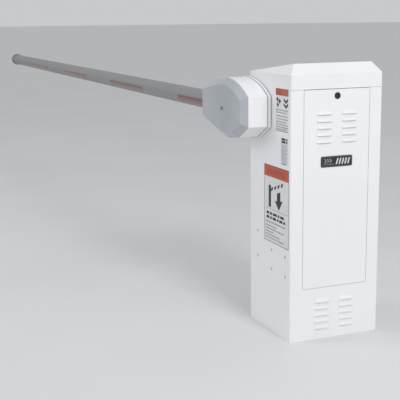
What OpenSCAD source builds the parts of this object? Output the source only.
// Parking barrier gate: a steel cabinet with its belt, worm gear and tie-rod drive, and a round arm.
// Origin at the centre of the cabinet's footprint on the ground, +X to the right of the door,
// +Y to the rear, where the lowered arm points, and +Z up. Millimetres.

/* [Cabinet] */
// Width of the cabinet across its door side
cab_w = 374; // [340:1:460]
// Depth of the cabinet
cab_d = 344; // [330:1:420]
// Height of the cabinet walls up to the eaves
wall_h = 987; // [970:1:1200]
// Thickness of the cabinet sheet
sheet_t = 3; // [2:0.5:4]
// Outer radius of the folded corners
corner_r = 4; // [3.5:0.5:10]

/* [Hood] */
// Rise of the ridge above the eaves
ridge_h = 39; // [20:1:60]
// How far the ridge stands behind the front
ridge_back = 35; // [20:1:60]
// How far each ridge end stands in from its side
ridge_in = 27; // [15:1:60]
// Height of the plain band above the door
band_h = 52; // [50:1:90]

/* [Door] */
// Width of the door opening
door_w = 272; // [250:1:290]
// Height of the door opening's sill
door_sill = 199; // [190:1:260]
// Gap round the door leaf
door_gap = 1.5; // [1.4:0.1:3]
// Thickness of the door sheet
door_t = 2; // [1.5:0.5:3]

/* [Louvres] */
// Length of one louvre
louvre_len = 65; // [40:1:80]
// Height of one louvre
louvre_h = 13; // [8:1:14]
// How far a louvre stands out
louvre_out = 6.5; // [3:0.5:7]
// Distance from one louvre to the next
louvre_pitch = 25.4; // [20:0.1:30]
// Distance of each column from the middle
louvre_x = 51; // [45:1:60]
// Louvres in each column
louvre_count = 5; // [1:1:5]

/* [Arm] */
// Outer diameter of the arm tube
arm_d = 76.2; // [60:0.1:90]
// Wall of the arm tube
arm_wall = 2; // [1.5:0.5:4]
// Reach of the arm from its shaft to the end of the tube
arm_reach = 4700; // [2400:10:5000]
// Length of one strip of tape
tape_len = 575; // [200:5:600]
// Distance from one strip of tape to the next
tape_pitch = 1085; // [800:5:1200]

/* [Arm shaft] */
// Diameter of the arm shaft
shaft_d = 38; // [30:1:40]
// Height of the arm shaft above the ground
shaft_z = 856; // [840:1:870]
// How far the arm shaft stands behind the middle
shaft_y = 75; // [60:1:80]

/* [Hub cover] */
// Depth of the straight wall of the hub cover
hub_wall_h = 77; // [76:1:90]
// Width of the bevel round its face
hub_bevel = 24; // [10:1:30]
// Wall of the hub cover
hub_t = 3; // [2:0.5:4]

/* [Drive] */
// Height of the gearbox output shaft
gear_z = 520; // [500:1:540]
// Height of the motor shaft
motor_z = 230; // [225:1:240]
// Radius of the motor shell
motor_r = 66; // [55:1:70]
// Length of the rocker and of the crank
link_r = 60; // [50:1:62]
// Diameter of the pins in the rocker and the crank
pin_d = 16; // [12:1:18]
// Thickness of the two mechanism side plates
plate_t = 8; // [6:1:10]

/* [Fits] */
// Radial clearance of a running shaft
run_gap = 0.05; // [0.02:0.01:0.1]
// Radial clearance of a bolt or plug in its hole
bolt_gap = 0.1; // [0.05:0.05:0.5]
// Radial clearance of the rod eye that closes the linkage
open_gap = 0.6; // [0.3:0.1:1]
// Clearance between faces that pass each other
face_gap = 0.3; // [0.2:0.1:0.5]

/* [Hidden] */
$fn = 48;

half_w = cab_w / 2;
half_d = cab_d / 2;
inner_w = half_w - sheet_t;
inner_d = half_d - sheet_t;
inner_corner = max(corner_r - sheet_t, 0.5);
seam_z = wall_h - band_h;
ridge_z = wall_h + ridge_h;

// Base frame
leg_w = 50;
leg_h = 40;
leg_t = 5;
anchor_r = 7;
anchor_x = half_w - 29;
anchor_y = half_d - 29;

// Door opening
jamb_t = 2;
jamb_d = 16;
lip_w = 13;
door_depth = 11;
pin_in = 4;
door_pin_r = 3;
seal_t = 3.7;
lock_drop = 25;
lock_z = seam_z - lock_drop;

// Rear opening
rear_side = 24;
rear_sill = 90;
rear_head = 60;
rear_t = 2;
rear_lap = 14;

// Shaft and mechanism
shaft_r = shaft_d / 2;
arm_r = arm_d / 2;
shaft_hole_r = shaft_r + 11;
plate_lx = -half_w + 27;
plate_rx = plate_lx + 180;
cross_x = [plate_rx - 14, plate_rx + 36];
plate_y = [-60, 130];
plate_top = shaft_z + 64;
foot_w = 36;
foot_bolt_r = 4;
foot_bolt_x = plate_t + 10;
foot_bolt_y = [-40, 110];
bearing_half = 40;
bearing_t = 14;
bearing_boss = 30;
bearing_hole = 29;
link_x = [plate_lx + 60, plate_lx + 74];
link_t = link_x[1] - link_x[0];
link_eye = pin_d / 2 + 8;
rod_x0 = link_x[1] + 2;
rod_t = 12;
rest_angle = -45;
crank_pin_y = shaft_y + link_r * cos(rest_angle);
crank_pin_z = gear_z + link_r * sin(rest_angle);
rocker_pin_z = shaft_z + link_r * sin(rest_angle);
buffer_r = 10;
link_half = 14;

// Gearbox
gear_x = [plate_lx + 98, plate_rx - 10];
gear_mid = (gear_x[0] + gear_x[1]) / 2;
gear_r = 66;
gear_wall = 8;
output_r = 15;
worm_drop = 56;
worm_z = gear_z - worm_drop;
worm_r = 12;
worm_tip = 15.7;
wheel_tip = worm_drop - worm_tip - face_gap;
tunnel_r = 26;
tunnel_y = [-20, 152];
shelf_t = 8;
shelf_z = worm_z - 44;
gear_foot = 16;

// Motor and belt
motor_y = [-78, 92];
motor_shelf_z = motor_z - motor_r - 20;
motor_x = (plate_lx + plate_t + plate_rx) / 2;
rotor_r = 8;
belt_y = -118;
belt_w = 10;
belt_t = 8;
big_r = 58;
small_r = 26;

// Hub and arm, measured outward from the left wall's outer face
skin_x = -half_w;
hub_rear = 329;
back_plate = [3, 5];
back_rim = 13;
cover_from = 15;
flange = [5, 11];
web = [11, 15];
channel_d = 45;
channel_half = 51;
channel_t = 4;
channel_y = [shaft_y - 62, shaft_y + hub_rear - 14];
arm_off = web[1] + 0.1 + arm_r;
arm_x = skin_x - arm_off;
hub_face = cover_from + hub_wall_h + hub_bevel;
clamp_y = [shaft_y + 66, shaft_y + 206];
clamp_r = 4;
saddle_y = shaft_y + 106;
saddle_z = shaft_z - 7;
tube_y0 = shaft_y - 40;
tube_y1 = shaft_y + arm_reach;
tape_t = 0.3;
tape_far = shaft_y + 665;
tape_near = clamp_y[1] + 10;
tape_half_angle = 23;
tape_tilt = 17;
cap_len = 90;
cap_r = arm_r + 6;

// ---------------------------------------------------------------- helpers

module block(lo, hi) {
    translate(lo) cube([hi[0] - lo[0], hi[1] - lo[1], hi[2] - lo[2]]);
}

module rod_x(x0, x1, y, z, r) {
    translate([x0, y, z]) rotate([0, 90, 0]) cylinder(h = x1 - x0, r = r);
}

module rod_y(y0, y1, x, z, r) {
    translate([x, y1, z]) rotate([90, 0, 0]) cylinder(h = y1 - y0, r = r);
}

module rod_z(z0, z1, x, y, r) {
    translate([x, y, z0]) cylinder(h = z1 - z0, r = r);
}

// A rectangle centred on the origin with round corners
module round_rect(w, d, r) {
    square([w - 2 * r, d], center = true);
    square([w, d - 2 * r], center = true);
    for (sx = [-1, 1], sy = [-1, 1])
        translate([sx * (w / 2 - r), sy * (d / 2 - r)]) circle(r = r);
}

// A hexagonal head or nut along X
module hex_x(x0, x1, y, z, across) {
    translate([x0, y, z]) rotate([0, 90, 0]) cylinder(h = x1 - x0, r = across / sqrt(3), $fn = 6);
}

// A flat picture-frame ring in the XZ plane
module ring_xz(x, z0, z1, w, y0, y1) {
    difference() {
        block([-x, y0, z0], [x, y1, z1]);
        block([-x + w, y0 - 1, z0 + w], [x - w, y1 + 1, z1 - w]);
    }
}

// ---------------------------------------------------------------- louvres

louvre_r = (louvre_h * louvre_h + louvre_out * louvre_out) / (2 * louvre_out);

// The rounded body of one louvre, whose lower edge is at z and whose sheet face is at y
module louvre_body(x, y, z, less) {
    bulge_r = louvre_r - less;
    run = louvre_len / 2 - louvre_h;
    intersection() {
        translate([x, y + louvre_r - louvre_out, z]) {
            rotate([0, 90, 0]) cylinder(h = 2 * run, r = bulge_r, center = true);
            for (s = [-1, 1]) translate([s * run, 0, 0]) sphere(r = bulge_r);
        }
        block([x - louvre_len, y - louvre_out - 1, z],
            [x + louvre_len, y + sheet_t + 1, z + 2 * louvre_h]);
    }
}

module louvre_field(y, top_z, less) {
    for (s = [-1, 1], k = [0 : louvre_count - 1])
        louvre_body(s * louvre_x, y, top_z - k * louvre_pitch, less);
}

// A sheet with its louvres raised and opened
module louvred(y, top_z) {
    difference() {
        union() {
            children();
            louvre_field(y, top_z, 0);
        }
        louvre_field(y, top_z, 1.5);
    }
}

low_louvre_z = door_sill - 56.5;
high_louvre_z = seam_z - 91;

// ---------------------------------------------------------------- cabinet

module base_frame() {
    color("dimgray") difference() {
        union() {
            difference() {
                linear_extrude(leg_h) round_rect(2 * inner_w, 2 * inner_d, inner_corner);
                block([-inner_w + leg_t, -inner_d + leg_t, leg_t],
                    [inner_w - leg_t, inner_d - leg_t, leg_h + 1]);
                block([-inner_w + leg_w, -inner_d + leg_w, -1],
                    [inner_w - leg_w, inner_d - leg_w, leg_t + 1]);
            }
            block([cross_x[0], -inner_d + leg_w, 0], [cross_x[1], inner_d - leg_w, leg_t]);
        }
        for (sx = [-1, 1], sy = [-1, 1])
            rod_z(-1, leg_t + 1, sx * anchor_x, sy * anchor_y, anchor_r);
        for (x = [plate_lx, plate_rx], y = foot_bolt_y)
            rod_z(-1, leg_t + 1, x + foot_bolt_x, y, foot_bolt_r + bolt_gap);
    }
}

module door_jamb() {
    x = door_w / 2 + jamb_t;
    y0 = -inner_d;
    y1 = -half_d + jamb_d;
    ring_xz(x, door_sill - jamb_t, seam_z + jamb_t, jamb_t, y0, y1);
    ring_xz(x, door_sill - jamb_t, seam_z + jamb_t, jamb_t + lip_w, y1 - jamb_t, y1);
}

plug_places = [[102, 373], [102, 272], [-19, 323], [-19, 247], [-132, 321], [-132, 245]];
plug_r = 4;

module cabinet_shell() {
    color("white") difference() {
        louvred(-half_d, low_louvre_z) {
            difference() {
                linear_extrude(wall_h) round_rect(cab_w, cab_d, corner_r);
                translate([0, 0, -1]) linear_extrude(wall_h + 2)
                    round_rect(2 * inner_w, 2 * inner_d, inner_corner);
                block([-half_w - 1, -half_d - 1, seam_z], [half_w + 1, -inner_d, wall_h + 1]);
                block([-door_w / 2, -half_d - 1, door_sill], [door_w / 2, -inner_d + 1, seam_z]);
            }
            door_jamb();
        }
        block([-half_w + rear_side, inner_d - 1, rear_sill],
            [half_w - rear_side, half_d + 1, wall_h - rear_head]);
        rod_x(-half_w - 1, -inner_w + 1, shaft_y, shaft_z, shaft_hole_r);
        for (p = plug_places) rod_x(-half_w - 1, -inner_w + 1, p[0], p[1], plug_r);
        for (s = [-1, 1])
            rod_x(s * door_w / 2 - 4, s * door_w / 2 + 4, -half_d + pin_in, door_sill + door_gap + pin_in,
                door_pin_r + run_gap);
        for (p = rear_screw_places) rod_y(inner_d - 1, half_d + 1, p[0], p[1], 3 + bolt_gap);
    }
}

rear_screw_in = 20;
rear_screw_places = [
    for (s = [-1, 1], k = [0 : 2])
        [s * (half_w - rear_side + rear_lap / 2),
            rear_sill + rear_screw_in + k * (wall_h - rear_head - rear_sill - 2 * rear_screw_in) / 2]
];

module rear_panel() {
    color("white") difference() {
        block([-half_w + rear_side - rear_lap, half_d, rear_sill - rear_lap],
            [half_w - rear_side + rear_lap, half_d + rear_t, wall_h - rear_head + rear_lap]);
        for (p = rear_screw_places) rod_y(half_d - 1, half_d + rear_t + 1, p[0], p[1], 3 + bolt_gap);
    }
}

module rear_screws() {
    color("silver") for (p = rear_screw_places) {
        rod_y(inner_d - 6, half_d + rear_t, p[0], p[1], 3);
        rod_y(half_d + rear_t, half_d + rear_t + 3, p[0], p[1], 5.5);
    }
}

// The wedge under the roof's four slopes
module roof_wedge() {
    x = half_w;
    y = half_d;
    polyhedron(
        points = [
            [-x, -y, wall_h], [x, -y, wall_h], [x, y, wall_h], [-x, y, wall_h],
            [-x + ridge_in, -y + ridge_back, ridge_z], [x - ridge_in, -y + ridge_back, ridge_z]
        ],
        faces = [[0, 1, 2, 3], [4, 5, 1, 0], [5, 4, 3, 2], [1, 5, 2], [3, 4, 0]]
    );
}

hood_screw_y = [-90, 90];
hood_screw_z = wall_h - 16;
flange_t = 2;

module hood() {
    color("white") difference() {
        union() {
            difference() {
                roof_wedge();
                translate([0, 0, -sheet_t]) roof_wedge();
            }
            intersection() {
                linear_extrude(wall_h) round_rect(cab_w, cab_d, corner_r);
                block([-half_w, -half_d, seam_z + 0.8], [half_w, -inner_d, wall_h]);
            }
            for (s = [-1, 1]) {
                x0 = s * (inner_w - face_gap / 3);
                block([min(x0, x0 - s * flange_t), -inner_d / 2 - 45, wall_h - 30],
                    [max(x0, x0 - s * flange_t), inner_d / 2 + 45, wall_h + 2.5]);
            }
        }
        for (s = [-1, 1], y = hood_screw_y)
            rod_x(s * inner_w - 5, s * inner_w + 5, y, hood_screw_z, 3 + bolt_gap);
    }
}

module hood_screws() {
    color("silver") for (s = [-1, 1], y = hood_screw_y) {
        x = s * (inner_w - face_gap / 3 - flange_t);
        rod_x(min(x, s * inner_w), max(x, s * inner_w), y, hood_screw_z, 3);
        hex_x(min(x, x - s * 4), max(x, x - s * 4), y, hood_screw_z, 10);
    }
}

module door_seal() {
    y1 = -half_d + jamb_d - jamb_t;
    color("black") ring_xz(door_w / 2 - 0.5, door_sill + 0.5, seam_z - 0.5, lip_w - 0.5, y1 - seal_t + 2, y1);
}

module hole_plugs() {
    color("silver") for (p = plug_places) {
        rod_x(skin_x - 1.2, skin_x, p[0], p[1], plug_r + 1.5);
        rod_x(skin_x, skin_x + sheet_t + 2, p[0], p[1], plug_r - bolt_gap);
    }
}

// A thin plate on the left wall, from its front edge, its lower edge and its size
module side_label(y, z, w, h) {
    block([skin_x - 0.3, y, z], [skin_x, y + w, z + h]);
}

module upper_label() {
    color("whitesmoke") side_label(-half_d + 19, 783, 101, 154);
}

module middle_label() {
    color("gainsboro") side_label(-half_d + 21, 662, 56, 100);
}

module lower_label() {
    color("whitesmoke") side_label(-half_d + 12, 353, 204, 294);
}

// ---------------------------------------------------------------- mechanism frame

module side_plate(x) {
    shaft_bore = shaft_r + 6;
    difference() {
        union() {
            block([x, plate_y[0], leg_t], [x + plate_t, plate_y[1], plate_top]);
            block([x + plate_t - 1, plate_y[0], leg_t], [x + plate_t + foot_w, plate_y[1], leg_t + plate_t]);
        }
        rod_x(x - 1, x + plate_t + 1, shaft_y, shaft_z, shaft_bore);
        for (sy = [-1, 1], sz = [-1, 1])
            rod_x(x - 1, x + plate_t + 1, shaft_y + sy * bearing_hole, shaft_z + sz * bearing_hole,
                5 + bolt_gap);
        for (y = foot_bolt_y)
            rod_z(0, leg_t + plate_t + 1, x + foot_bolt_x, y, foot_bolt_r + bolt_gap);
        block([x - 1, plate_y[0] + 40, 590], [x + plate_t + 1, plate_y[1] - 70, 760]);
        for (p = spacer_places) rod_x(x - 1, x + plate_t + 1, p[0], p[1], 5 + bolt_gap);
    }
}

spacer_places = [[-40, 890], [-40, 560], [-40, 60], [110, 60]];

module side_plate_left() {
    color("silver") side_plate(plate_lx);
}

module side_plate_right() {
    color("silver") side_plate(plate_rx);
}

module spacer_bars() {
    color("gray") for (p = spacer_places) {
        rod_x(plate_lx + plate_t, plate_rx, p[0], p[1], 9);
        rod_x(plate_lx - 2, plate_rx + plate_t + 2, p[0], p[1], 5);
        hex_x(plate_lx - 8, plate_lx, p[0], p[1], 17);
        hex_x(plate_rx + plate_t, plate_rx + plate_t + 8, p[0], p[1], 17);
    }
}

// The screws that hold the feet of the side plates down on the base frame
module foot_bolts() {
    z1 = leg_t + plate_t;
    color("silver") for (x = [plate_lx, plate_rx], y = foot_bolt_y) {
        rod_z(0.5, z1, x + foot_bolt_x, y, foot_bolt_r);
        translate([x + foot_bolt_x, y, z1]) cylinder(h = 5.3, r = 13 / sqrt(3), $fn = 6);
    }
}

// A shelf between the side plates with a lip turned down at each end
module shelf(z) {
    x0 = plate_lx + plate_t;
    block([x0, plate_y[0], z], [plate_rx, plate_y[1], z + shelf_t]);
    for (x = [x0, plate_rx - shelf_t])
        block([x, plate_y[0] + 10, z - 24], [x + shelf_t, plate_y[1] - 10, z + 1]);
}

module gearbox_shelf() {
    color("dimgray") shelf(shelf_z);
}

module motor_shelf() {
    color("dimgray") shelf(motor_shelf_z);
}

// A square flange bearing whose flange lies on the plate face at x and whose boss points along side
module flange_bearing(x, side) {
    x1 = x + side * bearing_t;
    x2 = x + side * bearing_boss;
    difference() {
        union() {
            translate([min(x, x1), shaft_y, shaft_z]) rotate([0, 90, 0]) linear_extrude(bearing_t)
                round_rect(2 * bearing_half, 2 * bearing_half, 10);
            rod_x(min(x, x2), max(x, x2), shaft_y, shaft_z, shaft_r + 9);
        }
        rod_x(min(x, x2) - 1, max(x, x2) + 1, shaft_y, shaft_z, shaft_r + run_gap);
        for (sy = [-1, 1], sz = [-1, 1])
            rod_x(min(x, x1) - 1, max(x, x1) + 1, shaft_y + sy * bearing_hole, shaft_z + sz * bearing_hole,
                5 + bolt_gap);
    }
}

module bearing_left() {
    color("steelblue") flange_bearing(plate_lx + plate_t, 1);
}

module bearing_right() {
    color("steelblue") flange_bearing(plate_rx, -1);
}

module bearing_bolts() {
    color("silver") for (sy = [-1, 1], sz = [-1, 1]) {
        y = shaft_y + sy * bearing_hole;
        z = shaft_z + sz * bearing_hole;
        rod_x(plate_lx, plate_lx + plate_t + bearing_t, y, z, 5);
        hex_x(plate_lx - 7, plate_lx, y, z, 17);
        hex_x(plate_lx + plate_t + bearing_t, plate_lx + plate_t + bearing_t + 7, y, z, 14);
        rod_x(plate_rx - bearing_t, plate_rx + plate_t, y, z, 5);
        hex_x(plate_rx + plate_t, plate_rx + plate_t + 7, y, z, 17);
        hex_x(plate_rx - bearing_t - 7, plate_rx - bearing_t, y, z, 14);
    }
}

module shaft_seal() {
    color("black") difference() {
        union() {
            rod_x(skin_x, skin_x + sheet_t, shaft_y, shaft_z, shaft_hole_r - bolt_gap);
            rod_x(skin_x - 1.5, skin_x, shaft_y, shaft_z, shaft_hole_r + 5);
            rod_x(skin_x + sheet_t, skin_x + sheet_t + 3, shaft_y, shaft_z, shaft_hole_r + 3);
        }
        rod_x(skin_x - 3, skin_x + sheet_t + 5, shaft_y, shaft_z, shaft_r + face_gap);
    }
}

// The two buffers stand beside the rocker where it stops, one gap clear of it
module stop_buffers() {
    reach = link_r - 10;
    off = link_half + buffer_r + 2 * face_gap;
    color("black") for (s = [-1, 1]) {
        y = shaft_y + reach * cos(rest_angle) - off * cos(rest_angle);
        z = shaft_z + s * (reach + off) * sin(rest_angle);
        rod_x(plate_lx + plate_t, link_x[1], y, z, buffer_r);
    }
}

// ---------------------------------------------------------------- gearbox

module gearbox_housing() {
    mid = gear_mid;
    color("seagreen") difference() {
        union() {
            rod_x(gear_x[0], gear_x[1], shaft_y, gear_z, gear_r);
            rod_y(tunnel_y[0], tunnel_y[1], mid, worm_z, tunnel_r + 6);
            block([gear_x[0], shaft_y - 55, shelf_z + shelf_t], [gear_x[1], shaft_y + 50, worm_z]);
            rod_x(gear_x[0] - 8, gear_x[0], shaft_y, gear_z, output_r + 12);
        }
        rod_x(gear_x[0] + gear_wall, gear_x[1] + 1, shaft_y, gear_z, gear_r - gear_wall);
        rod_x(gear_x[0] - 9, gear_x[0] + gear_wall + 1, shaft_y, gear_z, output_r + run_gap);
        rod_y(tunnel_y[0] + 8, tunnel_y[1] - 8, mid, worm_z, tunnel_r - 6);
        rod_y(tunnel_y[0] - 1, tunnel_y[0] + 9, mid, worm_z, worm_r + run_gap);
        block([gear_x[0] - 1, shaft_y - 25, shelf_z], [gear_x[1] + 1, shaft_y + 20, shelf_z + shelf_t + 4]);
    }
}

cover_bolt_r = gear_r - gear_wall / 2;

module gearbox_cover() {
    x0 = gear_x[1];
    color("seagreen") difference() {
        rod_x(x0, x0 + 6, shaft_y, gear_z, gear_r);
        rod_x(x0 - 1, x0 + 3, shaft_y, gear_z, output_r + run_gap);
        for (k = [0 : 5]) rotate_about_output(k * 60 + 30) rod_x(x0 - 1, x0 + 7, cover_bolt_r, 0, 2 + bolt_gap);
    }
}

module rotate_about_output(angle) {
    translate([0, shaft_y, gear_z]) rotate([angle, 0, 0]) children();
}

module gearbox_bolts() {
    x0 = gear_x[1];
    color("silver") for (k = [0 : 5]) rotate_about_output(k * 60 + 30) {
        rod_x(x0, x0 + 6, cover_bolt_r, 0, 2);
        rod_x(x0 + 6, x0 + 8.5, cover_bolt_r, 0, 3.6);
    }
}

// A link plate whose hub is bored to radius bore, with its pin at the far end
module link_plate(hub_r, bore, pin_x1) {
    rotate([rest_angle, 0, 0]) {
        difference() {
            union() {
                rod_x(link_x[0], link_x[1], 0, 0, hub_r);
                rod_x(link_x[0], link_x[1], link_r, 0, link_eye);
                block([link_x[0], 0, -link_half], [link_x[1], link_r, link_half]);
            }
            rod_x(link_x[0] - 1, link_x[1] + 1, 0, 0, bore);
        }
        rod_x(link_x[1] - 1, pin_x1, link_r, 0, pin_d / 2);
        hex_x(link_x[0] - 7, link_x[0], link_r, 0, 20);
    }
}

// The crank is welded to the gearbox output shaft
module output_crank() {
    color("silver") translate([0, shaft_y, gear_z]) {
        link_plate(output_r + 12, output_r - 2, rod_x0 + rod_t + 2);
        rod_x(link_x[0] - 2, gear_x[1] + 3 - face_gap, 0, 0, output_r);
    }
}

module worm_wheel() {
    teeth = 40;
    w = 26;
    root_r = wheel_tip - 4;
    color("goldenrod") translate([gear_mid - w / 2, shaft_y, gear_z]) rotate([0, 90, 0]) linear_extrude(w)
        difference() {
            union() {
                circle(r = root_r);
                for (k = [0 : teeth - 1]) rotate(k * 360 / teeth)
                    polygon([[root_r - 1, -2], [wheel_tip, -1], [wheel_tip, 1], [root_r - 1, 2]]);
            }
            circle(r = output_r + run_gap);
        }
}

module tie_rod() {
    x = rod_x0 + rod_t / 2;
    eye_r = pin_d / 2 + 9;
    color("silver") difference() {
        union() {
            for (z = [crank_pin_z, rocker_pin_z]) rod_x(rod_x0, rod_x0 + rod_t, crank_pin_y, z, eye_r);
            rod_z(crank_pin_z, rocker_pin_z, x, crank_pin_y, rod_t / 2);
            for (z = [crank_pin_z + eye_r + 14, rocker_pin_z - eye_r - 26])
                rod_z(z, z + 12, x, crank_pin_y, rod_t / 2 + 3, $fn = 6);
        }
        rod_x(rod_x0 - 1, rod_x0 + rod_t + 1, crank_pin_y, crank_pin_z, pin_d / 2 + run_gap);
        rod_x(rod_x0 - 1, rod_x0 + rod_t + 1, crank_pin_y, rocker_pin_z, pin_d / 2 + open_gap);
    }
}

module worm_shaft() {
    thread = 3;
    color("silver") {
        rod_y(belt_y - 12, tunnel_y[1] - 9, gear_mid, worm_z, worm_r);
        translate([gear_mid, shaft_y + 40, worm_z]) rotate([90, 0, 0]) rotate_extrude()
            polygon(concat([[0, 0]],
                [for (k = [0 : 7]) each [[worm_r, k * 10], [worm_tip, k * 10 + thread], [worm_tip, k * 10 + 5],
                    [worm_r, k * 10 + 8]]],
                [[worm_r, 80], [0, 80]]));
    }
}

// ---------------------------------------------------------------- belt and motor

// A grooved pulley on the belt line whose belt runs at radius r
module pulley(x, z, r, bore) {
    groove = r - belt_t - face_gap;
    difference() {
        rod_y(belt_y - belt_w, belt_y + belt_w, x, z, r + 1);
        difference() {
            rod_y(belt_y - belt_w / 2 - face_gap, belt_y + belt_w / 2 + face_gap, x, z, r + 2);
            rod_y(belt_y - belt_w, belt_y + belt_w, x, z, groove);
        }
        rod_y(belt_y - belt_w - 1, belt_y + belt_w + 1, x, z, bore);
    }
}

module large_pulley() {
    color("dimgray") pulley(gear_mid, worm_z, big_r, worm_r + run_gap);
}

// The outline of a belt run round both pulleys, less a margin, from the motor shaft
module belt_outline(less) {
    hull() {
        circle(r = small_r - less);
        translate([gear_mid - motor_x, worm_z - motor_z]) circle(r = big_r - less);
    }
}

module drive_belt() {
    color("black") translate([motor_x, belt_y + belt_w / 2, motor_z]) rotate([90, 0, 0]) linear_extrude(belt_w)
        difference() {
            belt_outline(0);
            belt_outline(belt_t);
        }
}

module motor_shell() {
    color("dimgray") difference() {
        union() {
            rod_y(motor_y[0], motor_y[1], motor_x, motor_z, motor_r);
            block([motor_x - 45, motor_y[0] + 25, motor_shelf_z + shelf_t],
                [motor_x + 45, motor_y[1] - 25, motor_z - motor_r + 20]);
            block([motor_x - 30, -20, motor_z + motor_r - 8], [motor_x + 30, 50, motor_z + motor_r + 26]);
        }
        rod_y(motor_y[0] - 1, motor_y[1] + 1, motor_x, motor_z, rotor_r + 26);
    }
}

module motor_end_bell() {
    y0 = motor_y[0] - 12;
    color("gray") difference() {
        union() {
            rod_y(y0, motor_y[0], motor_x, motor_z, motor_r);
            rod_y(y0 - 6, y0, motor_x, motor_z, 24);
        }
        rod_y(y0 - 7, motor_y[0] + 1, motor_x, motor_z, rotor_r + run_gap);
    }
}

module motor_fan_cover() {
    y0 = motor_y[1];
    color("gray") difference() {
        rod_y(y0, y0 + 36, motor_x, motor_z, motor_r);
        rod_y(y0 - 1, y0 + 33, motor_x, motor_z, motor_r - 3);
        for (k = [-3 : 3])
            block([motor_x - 34, y0 + 30, motor_z + k * 12 - 2], [motor_x + 34, y0 + 40, motor_z + k * 12 + 2]);
    }
}

module motor_rotor() {
    color("silver") {
        rod_y(belt_y - belt_w, motor_y[1] + 24, motor_x, motor_z, rotor_r);
        rod_y(motor_y[0] + 12, motor_y[1] - 12, motor_x, motor_z, rotor_r + 24);
        rod_y(motor_y[1] + 8, motor_y[1] + 20, motor_x, motor_z, motor_r - 10);
        pulley(motor_x, motor_z, small_r, rotor_r - 1);
    }
}

// ---------------------------------------------------------------- limits and controls

cam_x = plate_rx + plate_t + 8;

module limit_cams() {
    color("goldenrod") for (k = [0, 1]) difference() {
        union() {
            rod_x(cam_x + 9 * k, cam_x + 9 * k + 7, shaft_y, shaft_z, shaft_r + 7);
            translate([0, shaft_y, shaft_z]) rotate([k * 90 + 200, 0, 0])
                block([cam_x + 9 * k, 0, -8], [cam_x + 9 * k + 7, shaft_r + 12, 8]);
        }
        rod_x(cam_x + 9 * k - 1, cam_x + 9 * k + 8, shaft_y, shaft_z, shaft_r + run_gap);
    }
}

module limit_switches() {
    x0 = plate_rx + plate_t;
    z0 = shaft_z - 52 - shaft_r;
    color("black") {
        block([x0, shaft_y - 34, z0], [x0 + 40, shaft_y + 34, z0 + 4]);
        for (y = [shaft_y - 32, shaft_y + 4]) block([x0 + 8, y, z0 + 4], [x0 + 34, y + 28, z0 + 22]);
    }
}

board_x = [plate_rx + 46, inner_w - 8];
board_y = -44;

module control_bracket() {
    color("silver") {
        block([board_x[0] - 6, board_y, 440], [inner_w, board_y + 3, 880]);
        block([inner_w - 3, board_y, 440], [inner_w, board_y + 60, 880]);
        block([board_x[0] - 6, board_y, 440], [inner_w, board_y + 60, 443]);
    }
}

module circuit_board() {
    y0 = board_y - 10;
    color("darkgreen") {
        block([board_x[0], y0, 580], [board_x[1], y0 + 2, 810]);
        for (x = [board_x[0] + 8, board_x[1] - 8], z = [588, 802]) rod_y(y0 + 1, board_y, x, z, 3);
        for (z = [620, 655, 690]) block([board_x[0] + 14, y0 - 16, z], [board_x[0] + 40, y0 + 0.5, z + 26]);
        block([board_x[0] + 56, y0 - 8, 640], [board_x[1] - 12, y0 + 0.5, 700]);
    }
}

module terminal_block() {
    y0 = board_y - 10;
    x0 = board_x[0] + 4;
    color("green") difference() {
        block([x0, y0 - 14, 780], [board_x[1] - 18, y0, 794]);
        for (x = [x0 + 6 : 8 : board_x[1] - 24]) rod_y(y0 - 15, y0 - 8, x, 787, 2.4);
    }
}

module transformer() {
    color("dimgray") {
        block([board_x[0] + 2, board_y - 50, 470], [board_x[0] + 62, board_y, 530]);
        block([board_x[0] + 14, board_y - 58, 476], [board_x[0] + 50, board_y - 50, 524]);
    }
}

module run_capacitor() {
    color("silver") rod_z(443, 535, board_x[1] - 34, board_y + 32, 22);
}

switch_x = board_x[0] + 20;
switch_z = 846;
switch_half = 14;
rocker_axis_y = board_y - 12;

module switch_body() {
    color("black") difference() {
        block([switch_x - 10, board_y - 16, switch_z - switch_half - 3],
            [switch_x + 10, board_y, switch_z + switch_half + 3]);
        block([switch_x - 7, board_y - 17, switch_z - switch_half],
            [switch_x + 7, board_y - 4, switch_z + switch_half]);
        rod_x(switch_x - 9, switch_x + 9, rocker_axis_y, switch_z, 1.5 + run_gap);
    }
}

module switch_rocker() {
    y1 = board_y - 16;
    color("red") {
        difference() {
            block([switch_x - 6.5, y1 - 3, switch_z - 11], [switch_x + 6.5, y1 + 5, switch_z + 11]);
            translate([switch_x, y1 - 3, switch_z - 11]) rotate([24, 0, 0]) cube([20, 12, 20], center = true);
        }
        rod_x(switch_x - 8.7, switch_x + 8.7, rocker_axis_y, switch_z, 1.5);
    }
}

// ---------------------------------------------------------------- arm

flange_screw = 42;

module arm_shaft() {
    color("silver") difference() {
        union() {
            rod_x(skin_x - flange[1], cam_x + 20, shaft_y, shaft_z, shaft_r);
            rod_x(skin_x - flange[1], skin_x - flange[0], shaft_y, shaft_z, 58);
        }
        flange_holes(flange, 4 + bolt_gap);
    }
}

// Cylinders at the four screw places of the shaft flange, through the layer between two distances
module flange_holes(layer, r) {
    place = flange_screw / sqrt(2);
    for (sy = [-1, 1], sz = [-1, 1])
        rod_x(skin_x - layer[1] - 1, skin_x - layer[0] + 1, shaft_y + sy * place, shaft_z + sz * place, r);
}

module rocker_arm() {
    color("dimgray") translate([0, shaft_y, shaft_z])
        link_plate(shaft_r + 12, shaft_r + run_gap, rod_x0 + rod_t + 2);
}

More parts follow.
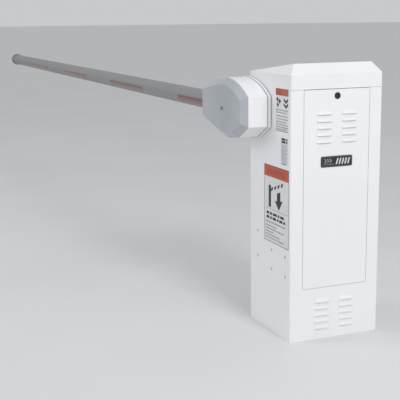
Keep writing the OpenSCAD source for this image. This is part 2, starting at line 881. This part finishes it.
// The outline of the hub cover in (y, z) round the shaft, clockwise from its lower front corner
hub_arc_r = 347;
hub_top = [110, 109];
hub_front = -88;
hub_arc_from = acos((hub_front - hub_top[0]) / hub_arc_r);
hub_points = concat(
    [[hub_front, -64]],
    [for (k = [0 : 8]) let (a = hub_arc_from + k * (90 - hub_arc_from) / 8)
        [hub_top[0] + hub_arc_r * cos(a), hub_top[1] - hub_arc_r + hub_arc_r * sin(a)]],
    [[200, 96], [279, 83], [hub_rear, 70], [hub_rear, -68], [156, -113], [95, -122], [-4, -110]]
);

// A slab of the hub outline between two distances from the wall, grown by margin
module hub_slab(d0, d1, margin) {
    translate([skin_x - d0, shaft_y, shaft_z]) rotate([90, 0, -90]) mirror([1, 0, 0])
        linear_extrude(d1 - d0) offset(delta = margin) polygon(hub_points);
}

module hub_body(margin) {
    d0 = cover_from;
    hull() {
        hub_slab(d0 - (margin < 0 ? 1 : 0), d0 + hub_wall_h, margin);
        hub_slab(hub_face - 0.02 + margin, hub_face + margin, margin - hub_bevel);
    }
}

module hub_back_plate() {
    color("silver") difference() {
        hub_slab(back_plate[0], back_rim, 3);
        hub_slab(back_plate[1], back_rim + 1, 3 - hub_t);
        rod_x(skin_x - 10, skin_x, shaft_y, shaft_z, shaft_r + bolt_gap);
        flange_holes(back_plate, 4 + bolt_gap);
    }
}

module hub_cover() {
    color("lightgray") difference() {
        hub_body(0);
        hub_body(-hub_t);
        rod_y(shaft_y + 300, shaft_y + 400, arm_x, shaft_z, arm_r + 1);
        rod_x(skin_x - hub_face - 1, skin_x - hub_face + hub_t + 1, saddle_y, saddle_z, 4 + bolt_gap);
    }
}

module arm_channel() {
    x0 = skin_x - channel_d;
    color("gray") difference() {
        block([x0, channel_y[0], shaft_z - channel_half],
            [skin_x - web[0], channel_y[1], shaft_z + channel_half]);
        block([x0 - 1, channel_y[0] - 1, shaft_z - channel_half + channel_t],
            [skin_x - web[1], channel_y[1] + 1, shaft_z + channel_half - channel_t]);
        flange_holes(web, 4 + bolt_gap);
        for (y = clamp_y, s = [-1, 1])
            rod_x(skin_x - web[1] - 1, skin_x - web[0] + 1, y, shaft_z + s * (arm_r + clamp_r + bolt_gap),
                clamp_r + bolt_gap);
    }
}

// Two U bolts round the tube with their nuts, and the four screws of the shaft flange
module arm_clamps() {
    bend = arm_r + clamp_r + bolt_gap;
    color("silver") {
        for (y = clamp_y) {
            intersection() {
                translate([arm_x, y, shaft_z]) rotate([90, 0, 0]) rotate_extrude()
                    translate([bend, 0]) circle(r = clamp_r);
                block([arm_x - 100, y - 20, shaft_z - 100], [arm_x, y + 20, shaft_z + 100]);
            }
            for (s = [-1, 1]) {
                rod_x(arm_x, skin_x - back_plate[1] - 0.5, y, shaft_z + s * bend, clamp_r);
                hex_x(skin_x - web[0], skin_x - back_plate[1] - 0.5, y, shaft_z + s * bend, 13);
            }
        }
        flange_holes([back_plate[0] + 1, web[1] - 1], 4);
    }
}

module cover_saddle() {
    color("dimgray") difference() {
        block([skin_x - hub_face + hub_t + 0.1, saddle_y - 16, saddle_z - 16],
            [arm_x - 10, saddle_y + 16, saddle_z + 16]);
        rod_y(saddle_y - 20, saddle_y + 20, arm_x, shaft_z, arm_r + 0.1);
        rod_x(skin_x - hub_face - 1, arm_x, saddle_y, saddle_z, 4 + bolt_gap);
    }
}

module cover_screw() {
    color("black") {
        rod_x(skin_x - hub_face, arm_x - arm_r - 2, saddle_y, saddle_z, 4);
        rod_x(skin_x - hub_face - 3, skin_x - hub_face, saddle_y, saddle_z, 8);
    }
}

module arm_tube() {
    color("whitesmoke") difference() {
        rod_y(tube_y0, tube_y1, arm_x, shaft_z, arm_r);
        rod_y(tube_y0 - 1, tube_y1 + 1, arm_x, shaft_z, arm_r - arm_wall);
    }
}

module arm_end_cap() {
    bulb_y = tube_y1 + cap_len - cap_r;
    color("whitesmoke") difference() {
        union() {
            rod_y(tube_y1 - 40, tube_y1 + 1, arm_x, shaft_z, arm_r - arm_wall - bolt_gap);
            rod_y(tube_y1, bulb_y, arm_x, shaft_z, cap_r);
            intersection() {
                translate([arm_x, bulb_y, shaft_z]) sphere(r = cap_r);
                block([arm_x - 60, bulb_y, shaft_z - 60],
                    [arm_x + 60, bulb_y + cap_r + 1, shaft_z + 60]);
            }
        }
        rod_y(tube_y1 - 41, tube_y1 + cap_len / 2, arm_x, shaft_z, arm_r - arm_wall - 3);
    }
}

// One strip of tape on the outward side of the tube, from y0 to y1
module tape_strip(y0, y1) {
    far = 2 * arm_r;
    intersection() {
        difference() {
            rod_y(y0, y1, arm_x, shaft_z, arm_r + tape_t);
            rod_y(y0 - 1, y1 + 1, arm_x, shaft_z, arm_r);
        }
        translate([arm_x, y1, shaft_z]) rotate([90, 0, 0]) rotate(180 + tape_tilt) linear_extrude(y1 - y0)
            polygon([[0, 0], [far, -far * tan(tape_half_angle)], [far, far * tan(tape_half_angle)]]);
    }
}

module arm_tape() {
    color("firebrick") for (k = [0 : floor((arm_reach - 700) / tape_pitch)]) {
        y1 = tape_far + k * tape_pitch;
        tape_strip(max(y1 - tape_len, tape_near), y1);
    }
}

// ---------------------------------------------------------------- door

leaf_half = door_w / 2 - door_gap;
leaf_z = [door_sill + door_gap, seam_z - door_gap];
lock_r = 9.5;
barrel_r = 6.5;
cam_y = -half_d + jamb_d + 0.7;

module door_leaf() {
    color("white") difference() {
        union() {
            louvred_door();
            ring_xz(leaf_half, leaf_z[0], leaf_z[1], door_t, -half_d, -half_d + door_depth);
            for (s = [-1, 1]) {
                xs = [s * (leaf_half - 1), s * (door_w / 2 + jamb_t)];
                rod_x(min(xs), max(xs), -half_d + pin_in, leaf_z[0] + pin_in, door_pin_r);
            }
        }
        rod_y(-half_d - 1, -half_d + door_t + 1, 0, lock_z, lock_r + bolt_gap);
    }
}

module louvred_door() {
    difference() {
        union() {
            block([-leaf_half, -half_d, leaf_z[0]], [leaf_half, -half_d + door_t, leaf_z[1]]);
            intersection() {
                louvre_field(-half_d, high_louvre_z, 0);
                block([-leaf_half, -half_d - 20, leaf_z[0]], [leaf_half, -half_d + door_t, leaf_z[1]]);
            }
        }
        louvre_field(-half_d, high_louvre_z, 1.5);
    }
}

module name_badge() {
    color("black") translate([0, -half_d, seam_z - 263]) rotate([90, 0, 0]) linear_extrude(2)
        round_rect(130, 40, 6);
}

module lock_housing() {
    color("black") difference() {
        union() {
            rod_y(-half_d - 2, -half_d, 0, lock_z, lock_r + 2.5);
            rod_y(-half_d, cam_y - face_gap, 0, lock_z, lock_r);
            translate([0, -half_d + door_t + 5, lock_z]) rotate([90, 0, 0])
                cylinder(h = 5, r = lock_r + 5, $fn = 6);
        }
        rod_y(-half_d - 3, cam_y + 1, 0, lock_z, barrel_r + run_gap);
    }
}

module lock_barrel() {
    color("silver") {
        difference() {
            rod_y(-half_d - 1.5, cam_y + 3, 0, lock_z, barrel_r);
            block([-0.8, -half_d - 3, lock_z - 4], [0.8, -half_d + 3, lock_z + 4]);
        }
        block([-9, cam_y, lock_z - 7], [32, cam_y + 3, lock_z + 7]);
    }
}

// ---------------------------------------------------------------- the nodes

base_frame();
cabinet_shell();
rear_panel();
rear_screws();
hood();
hood_screws();
door_seal();
hole_plugs();
upper_label();
middle_label();
lower_label();
side_plate_left();
side_plate_right();
foot_bolts();
spacer_bars();
gearbox_shelf();
motor_shelf();
bearing_left();
bearing_right();
bearing_bolts();
shaft_seal();
stop_buffers();
gearbox_housing();
gearbox_cover();
gearbox_bolts();
motor_shell();
motor_end_bell();
motor_fan_cover();
drive_belt();
limit_switches();
control_bracket();
circuit_board();
terminal_block();
transformer();
run_capacitor();
switch_body();
arm_shaft();
limit_cams();
rocker_arm();
hub_back_plate();
arm_channel();
arm_clamps();
hub_cover();
cover_saddle();
cover_screw();
arm_tube();
arm_end_cap();
arm_tape();
output_crank();
worm_wheel();
tie_rod();
worm_shaft();
large_pulley();
motor_rotor();
door_leaf();
name_badge();
lock_housing();
lock_barrel();
switch_rocker();
